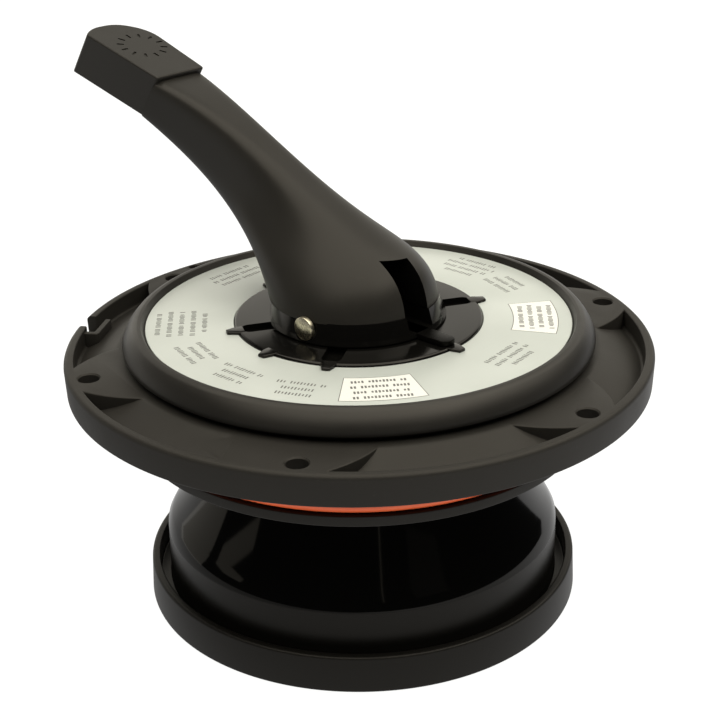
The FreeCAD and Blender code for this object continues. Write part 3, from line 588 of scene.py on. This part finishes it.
def makeLabel():
    film = spunPiece("positionLabelFilm", rounded([
        (label["inner"], label["low"]), (label["inner"], label["top"], 0.08),
        (label["outer"], label["top"], 0.08), (label["outer"], label["low"])], 2), steps=240)
    dressed(film, "cover", filmFinish, "label_film", "position_label")
    bars = []
    for azimuth, radius, rows in label["blocks"]:
        for i, width in enumerate(rows):
            offset = ((len(rows) - 1) / 2 - i) * label["rowGap"]
            bars += rowOfBars(azimuth, radius + offset, width, label["bar"])
    borders, panels = [], []
    for start, stop, inner, outer in label["panels"]:
        borders.append(panelOutline(start, stop, inner, outer, label["border"]))
        panels.append(panelOutline(start, stop, inner, outer))
        for i in range(label["panelRows"]):
            bars += rowOfBars((start + stop) / 2, outer - 2.4 - i * (outer - inner - 3.4) / 3.4,
                              (stop - start) * 0.80 - 2 * (i % 2), label["panelBar"])
    low = label["top"] - 0.01                      # the print stands a hair above the film
    for name, shapes, high, finish in (("labelBorders", borders, 17.515, inkFinish),
                                       ("labelPanels", panels, 17.525, panelFinish),
                                       ("labelPrint", bars, 17.54, inkFinish)):
        dressed(printedPlates(name, shapes, low, high), "cover", finish, "label_film")


def printedPlates(name, shapes, low, high):        # each shape is a face of one sheet that gets a thickness
    clearAll()
    bpy.ops.mesh.primitive_circle_add(vertices=len(shapes[0]), radius=0.05, fill_type="NGON")
    piece = named(name)
    bpy.ops.object.mode_set(mode="EDIT")
    for shape in shapes[1:]:
        bpy.ops.mesh.primitive_circle_add(vertices=len(shape), radius=0.05, fill_type="NGON")
    bpy.ops.object.mode_set(mode="OBJECT")
    corners = [point for shape in shapes for point in shape]
    for vertex, (x, y) in zip(piece.data.vertices, corners):
        vertex.co = (x * mm, y * mm, low * mm)
    bpy.ops.object.mode_set(mode="EDIT")
    bpy.ops.mesh.select_all(action="SELECT")
    bpy.ops.mesh.extrude_region_move(TRANSFORM_OT_translate={"value": (0, 0, (high - low) * mm)})
    bpy.ops.mesh.select_all(action="SELECT")
    bpy.ops.mesh.normals_make_consistent(inside=False)
    bpy.ops.object.mode_set(mode="OBJECT")
    return piece


makeIndexPlate()
makeLabel()
print("index plate and label made")


# ---------- seal under the flange ----------
seal = {"radius": 71.0, "section": 2.49, "height": -11.9, "flash": 0.06, "steps": 28}


def makeSeal():
    points = []
    for k in range(seal["steps"]):
        a = 2 * math.pi * k / seal["steps"]
        section = seal["section"] + (seal["flash"] if k in (0, seal["steps"] // 2) else 0)
        points.append(Vector((seal["radius"] + math.cos(a) * section, seal["height"] + math.sin(a) * section)))
    dressed(spunPiece("coverSeal", points), "cover", redRubber, "red_rubber", "cover_o_ring")


makeSeal()
print("seal made")


# ---------- rotor ----------
rotor = {
    # the outline: ring and sealing bands, the cone between two points, then the neck and the stem
    "bands": [(0, -76.98), (72.5, -76.98, 0.8), (71.9, -64.6, 1.0), (69.3, -64.6, 0.5), (69.3, -71.5, 0.4),
              (65.9, -71.5, 0.3), (65.75, -53.4), (65.7, -52.6)],
    "cone": ((65.6, -51.6), (48.9, -22.8)), "coneBow": 1.0,
    "stem": [(48.5, -21.6), (46.6, -19.5), (45.4, -19.0), (27.5, -19.0, 0.6), (27.5, -31.0, 0.5), (11.0, -31.0),
             (11.0, -9.0), (9.2, -9.0), (9.2, -6.6), (11.0, -6.6), (11.0, -3.0), (9.2, -3.0), (9.2, -0.6),
             (11.0, -0.6), (11.0, 13.4, 0.4), (0, 13.4)],
    "chamber": [(14.0, -79.0), (62.3, -79.0), (62.3, -53.9), (45.1, -25.4, 2.0), (30.9, -25.4, 1.0),
                (30.9, -34.4, 1.5), (14.0, -34.4, 1.5)],
    "portChamber": 54.0, "wideChamber": 302.0,     # how far round each chamber goes, in degrees
    "window": [(38, -19), (80, -19), (80, 19), (38, 19)], "windowHeights": (-50, -28),
    "spoke": [(13, -2), (64.5, -2), (64.5, 2), (13, 2)], "spokeHeights": (-76.95, -72), "spokes": 6,
    "tang": [(-9.7, 12.8), (9.7, 12.8), (9.7, 35.4, 9.4), (-9.7, 35.4, 9.4)], "tangHalf": 5}


def makeRotor():
    r = rotor
    cone = [tuple(v) for v in bowed(*r["cone"], r["coneBow"])]
    bell = spunPiece("rotorBell", rounded(r["bands"] + cone + r["stem"]), steps=240)
    lining, port, wide = rounded(r["chamber"]), r["portChamber"], r["wideChamber"]
    carved(bell, spunPiece("portTool", lining, 40, port, -port / 2))
    carved(bell, spunPiece("wideTool", lining, 160, wide, 180 - wide / 2))
    carved(bell, prismPiece("windowTool", rounded(r["window"]), *r["windowHeights"]))
    spokes = repeated(prismPiece("spokes", r["spoke"], *r["spokeHeights"], 30), r["spokes"])
    bar = prismPiece("tang", rounded(r["tang"], 10), -r["tangHalf"], r["tangHalf"])
    bar.data.transform(Matrix.Rotation(math.radians(90), 4, "X"))
    tidy(bar)
    dressed(joined([bell, spokes, bar]), "rotor", rotorFinish, "black_rotor", "rotor")


makeRotor()
print("rotor made")


# ---------- lever ----------
lever = {"back": [(-25.4, 25.0), (-23.0, 51.0), (1.1, 37.5), (31.6, 70.7), (81.8, 83.5)],
         "belly": [(29.0, 25.0), (44.9, 41.7), (57.3, 46.7), (91.5, 69.3)],
         "halfWidth": [27.2, 24.5, 7.7, 5.4, 11.2], "squareness": [2.0, 1.6, 5.4],
         "base": 18.62, "slotHalf": 5.3, "slotFront": 13.6, "slotTop": 40.7, "tongue": 39.4,
         "pinX": -3.0, "pinZ": 22.8, "tangRoom": -13.5, "relief": 21, "reliefAt": (12.0, 0, 18.6),
         "skirt": [(29.1, 18.62, 0.3), (28.3, 20.3, 3.0), (26.7, 25.3)],
         "neck": 0.93, "neckBack": -0.5, "neckReach": 2.0, "neckLine": (0.96, 0.28)}


def curveAt(control, t):                           # a Bezier curve through its control values
    degree = len(control) - 1
    weights = [math.comb(degree, i) * (1 - t) ** (degree - i) * t ** i for i in range(degree + 1)]
    if isinstance(control[0], tuple):
        return Vector([sum(w * value[k] for w, value in zip(weights, control)) for k in (0, 1)])
    return sum(w * value for w, value in zip(weights, control))


def armSurface(u, v):
    back, belly = curveAt(lever["back"], v), curveAt(lever["belly"], v)
    middle, upward = (back + belly) / 2, (back - belly) / 2
    power = 2 / curveAt(lever["squareness"], v)
    up, side = math.cos(2 * math.pi * u), math.sin(2 * math.pi * u)
    up, side = math.copysign(abs(up) ** power, up), math.copysign(abs(side) ** power, side)
    spot = middle + upward * up
    return spot.x, side * curveAt(lever["halfWidth"], v), spot.y


def slabTool(name, lowCorner, highCorner):
    (x0, y0, z0), (x1, y1, z1) = lowCorner, highCorner
    return prismPiece(name, [(x0, y0), (x1, y0), (x1, y1), (x0, y1)], z0, z1)


def crossTool(name, radius, start, stop):          # a round tool along the pivot pin's axis
    tool = spunPiece(name, [(0, start), (radius, start), (radius, stop), (0, stop)], 40)
    tool.data.transform(Matrix.Rotation(math.radians(-90), 4, "X"))
    return moved(tool, (lever["pinX"], 0, lever["pinZ"]))


def leverCuts(piece):
    half, front = lever["slotHalf"], lever["slotFront"]
    slot = slabTool("slotCut", (-60, -half, 20.2), (front, half, lever["slotTop"]))
    for vertex in slot.data.vertices:              # its top leans across
        if vertex.co.z > 0.03:
            vertex.co.z += 0.13 * vertex.co.y
    carved(piece, slot)
    carved(piece, slabTool("tangRoom", (lever["tangRoom"], -half, 10.0), (front, half, 20.4)))
    relief = slabTool("relief", (0, -40, -12), (45, 40, 0))
    relief.data.transform(Matrix.Rotation(math.radians(-lever["relief"]), 4, "Y"))
    carved(piece, moved(relief, lever["reliefAt"]))
    carved(piece, crossTool("pinHole", 2.92, -40, 40))
    carved(piece, crossTool("headSeat", 3.95, 26.8, 40))
    carved(piece, crossTool("clipSeat", 4.5, -40, -24.6))


def isSlotPaintedShade(face):                              # painted shade: the slot's walls and roof get the near-black tongue finish, for the shade inside the slot
    spot, across = face.center / mm, abs(face.normal.y)
    inside = (abs(spot.y) < lever["slotHalf"] + 0.05 and -40 < spot.x < lever["slotFront"] + 0.05
              and spot.z < 42)
    return inside and (across > 0.98 or face.normal.x < -0.98 or face.normal.z < -0.9)


def makeLever():
    arm = wrappedPiece("leverArm", 112, 84, armSurface)
    leverCuts(arm)
    base, top = lever["base"], lever["skirt"][-1][1]
    skirt = spunPiece("leverSkirt", rounded([(0, base), *lever["skirt"], (0, top)]), 160)
    leverCuts(moved(skirt, (0.8, 0, 0)))
    foot, end = lever["tangRoom"], -lever["tongue"]
    tongue = prismPiece("leverTongue", rounded([(foot, -3), (foot, 3), (end, 3, 2.9), (end, -3, 2.9)], 8),
                        base, 20.2, 0, 0.3)
    seam = wrappedPiece("leverSeam", 64, 2, seamSurface)
    # painted shade: the slot's walls take the near-black tongue finish
    dressed(arm, "lever", leverFinish, "black_lever", "lever", second=tongueAndSlotShadeFinish, where=isSlotPaintedShade)
    dressed(skirt, "lever", skirtFinish, "black_lever")
    # painted shade: the tongue is near-black for the shade in the slot
    dressed(tongue, "lever", tongueAndSlotShadeFinish, "black_lever")
    dressed(seam, "lever", skirtFinish, "black_lever")


def seamSurface(u, v):                             # the recessed neck between the arm and the cap
    x, y, z = armSurface(u, 1.0)
    middle = (Vector(lever["back"][-1]) + Vector(lever["belly"][-1])) / 2
    reach, (along, up) = lever["neckBack"] + lever["neckReach"] * v, lever["neckLine"]
    return (middle.x + (x - middle.x) * lever["neck"] + reach * along, y * lever["neck"],
            middle.y + (z - middle.y) * lever["neck"] + reach * up)


# ---------- grip cap ----------
cap = {"x": 80.75, "z": 85.05, "angle": 16.2, "depth": 17.5, "lean": (9.7, 0, -14.2),
       "edge": 0.9, "seamEdge": 1.0, "seamHalf": 10.4,
       # the tip's arcs: start, end, bow
       "tip": [((36.4, 11.8), (40.3, 2.0), 1.3), ((40.3, 2.0), (36.4, -7.4), 1.2),
               ((36.4, -7.4), (25.6, -11.8), 1.2)],
       "markCentre": (22.0, -1.0), "markRadius": 7.6, "markCount": 12, "mark": (1.3, 0.45, 0.3)}


def softenStrip(piece):                            # the broad rounded edge along the top at the seam
    activate(piece)
    for edge in piece.data.edges:
        ends = [piece.data.vertices[i].co for i in edge.vertices]
        edge.select = all(end.x < 0.0815 and end.z > 0.084 for end in ends)
    for group in (piece.data.vertices, piece.data.polygons):
        for item in group:
            item.select = False
    for edge in piece.data.edges:
        if edge.select:
            for i in edge.vertices:
                piece.data.vertices[i].select = True
    bpy.ops.object.mode_set(mode="EDIT")
    bpy.ops.mesh.select_mode(type="EDGE")
    bpy.ops.mesh.bevel(offset=cap["seamEdge"] * mm, segments=4, affect="EDGES")
    bpy.ops.mesh.select_mode(type="VERT")
    bpy.ops.object.mode_set(mode="OBJECT")


def makeGripCap():
    outline = [(0, -cap["seamHalf"]), (0, cap["seamHalf"])]
    for start, stop, bow in cap["tip"]:
        outline += [start, *bowed(start, stop, bow, 6)]
    outline.append(cap["tip"][-1][1])
    piece = prismPiece("gripCapBody", outline, -cap["depth"], 0)
    lean = Vector(cap["lean"]).normalized() * cap["depth"]
    tilt = Matrix.Rotation(math.radians(-cap["angle"]), 4, "Y")
    for vertex in piece.data.vertices:
        x, y, z = vertex.co / mm
        spot = tilt @ Vector((x, y, 0)) + lean * (-z / cap["depth"]) + Vector((cap["x"], 0, cap["z"]))
        vertex.co = spot * mm
    softenStrip(piece)
    modifier = piece.modifiers.new("edges", "BEVEL")
    modifier.width, modifier.segments = cap["edge"] * mm, 4
    modifier.limit_method, modifier.angle_limit = "ANGLE", math.radians(40)
    bpy.ops.object.modifier_apply(modifier="edges")
    tidy(piece, 40)
    marks, (reach, half, corner), middle = [], cap["mark"], cap["markRadius"]
    mark = rounded([(middle - reach, -half, corner), (middle + reach, -half, corner),
                    (middle + reach, half, corner), (middle - reach, half, corner)])
    for k in range(cap["markCount"]):
        tick = prismPiece("mark", mark, -0.35, 1.0, 360 * k / cap["markCount"])
        marks.append(moved(tick, (*cap["markCentre"], 0)))
    tool = joined(marks)
    tool.data.transform(Matrix.Translation((cap["x"] * mm, 0, cap["z"] * mm)) @ tilt)
    carved(piece, tool)
    dressed(piece, "lever", capFinish, "black_lever", "grip_cap")


makeLever()
makeGripCap()
print("lever and grip cap made")


# ---------- pivot pin ----------
pin = {"shank": 2.9, "head": 3.8, "seat": 26.8, "rim": 28.2, "crown": 28.78, "end": -27.0}


def makePin():
    crown = [tuple(v) for v in bowed((3.45, 28.28), (0.0, pin["crown"]), -0.12, 8)]
    piece = spunPiece("pivotPinBody", rounded([
        (0, pin["end"]), (pin["shank"], pin["end"], 0.4), (pin["shank"], pin["seat"]),
        (pin["head"], pin["seat"], 0.15),
        (pin["head"], pin["rim"], 0.3), *crown, (0, pin["crown"])]), 64)
    piece.data.transform(Matrix.Rotation(math.radians(-90), 4, "X"))
    moved(piece, (lever["pinX"], 0, lever["pinZ"]))
    dressed(tidy(piece), "lever", nickelFinish, "nickel", "pivot_pin")


makePin()
print("pivot pin made")


# ---------- finishes of the pieces that stay as they are ----------
kept = {"index_plate_screws": steelFinish, "thrust_washer": slipFinish, "spring_washer_upper": steelFinish,
        "spring_washer_lower": steelFinish, "return_spring": wireFinish, "stem_o_ring_lower": blackRubber,
        "stem_o_ring_upper": blackRubber, "grip_cap_screw": steelFinish, "pin_clip": steelFinish}
for node, finish in kept.items():
    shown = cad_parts[node]
    for materialSlot in shown.material_slots:
        materialSlot.material = finish

# ---------- floor ----------
def addFloor(name, drop, look):                    # one plane of the floor, just under the valve
    clearAll()
    bpy.ops.mesh.primitive_plane_add(size=studio["floorSize"], location=(0, 0, cadBox[0].z - drop * mm))
    made = named(name)
    made.data.materials.append(look)
    return made


def floorLook():                                   # paper that glows, to stay white in the shadow
    finish = Finish("paleFloor", Emission_Color=(1, 1, 0.99, 1), Emission_Strength=studio["floorGlow"])
    shade = finish.noise(400.0, 2.0)
    return finish.wear(Base_Color=finish.blendColour(shade, *studio["floorColours"]),
                       Roughness=0.6 + shade * 0.1)


def mirrorLook():                                  # what the valve mirrors: dimmer, brightest on the right
    finish = Finish("mirroredFloor", Emission_Strength=1.0)
    parts = finish.node("ShaderNodeSeparateXYZ", None, {0: finish.place}).socket.node
    rightward = Link(finish, parts.outputs[0]) * -0.725 + Link(finish, parts.outputs[1]) * -0.688
    low, high = studio["mirrored"]
    across = finish.ramp(rightward, *studio["mirroredFrom"])
    glow = finish.blendColour(across, (low, low, low, 1), (high, high, high, 1))
    return finish.wear(Base_Color=(0, 0, 0, 1), Emission_Color=glow)


floor = addFloor("studioFloor", 0.2, floorLook())
floor.visible_glossy = False
mirrored = addFloor("studioMirroredFloor", 0.3, mirrorLook())
mirrored.visible_camera = mirrored.visible_diffuse = mirrored.visible_shadow = False
print("floor ready")
